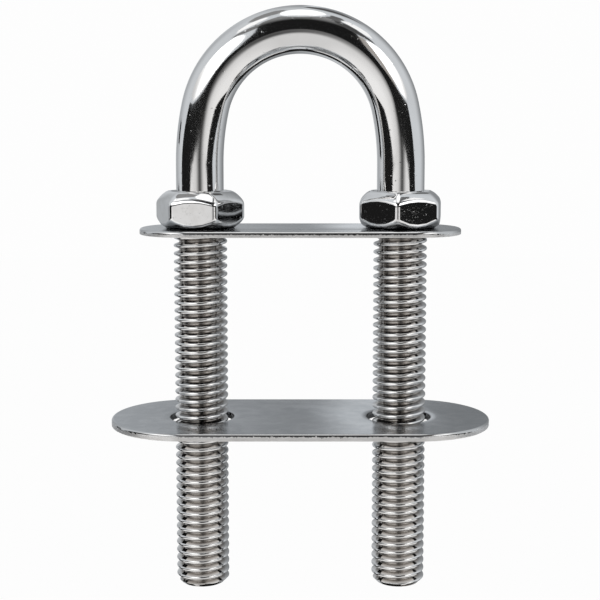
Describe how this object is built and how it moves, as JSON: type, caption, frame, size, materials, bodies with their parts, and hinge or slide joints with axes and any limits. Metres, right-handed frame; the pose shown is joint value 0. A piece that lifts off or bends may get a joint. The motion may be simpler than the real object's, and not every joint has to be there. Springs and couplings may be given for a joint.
{
  "type": "bow eye",
  "caption": "Polished stainless U-bolt bow eye with threaded legs, hex nuts, a face plate and a backing plate, for towing, tying or lifting a small boat.",
  "frame": {"origin": "centre of the face plate's underside, midway between the legs, where the fitting seats on the hull", "axes": "+Z out of the hull towards the eye's crown, legs spaced along X, eye open along Y"},
  "size_m": [0.0908, 0.0365, 0.1382],
  "materials": {
    "polished_rod": "polished stainless steel with bright rolled threads",
    "polished_nut": "polished stainless steel with fine marks on the flats",
    "face_plate_steel": "satin stainless sheet with a sheared edge",
    "backing_plate_steel": "satin stainless sheet with a sheared edge"
  },
  "bodies": {
    "root": {"u_bolt": "polished_rod", "hex_nut_left": "polished_nut", "hex_nut_right": "polished_nut", "face_plate": "face_plate_steel", "backing_plate": "backing_plate_steel"}
  },
  "joints": []
}
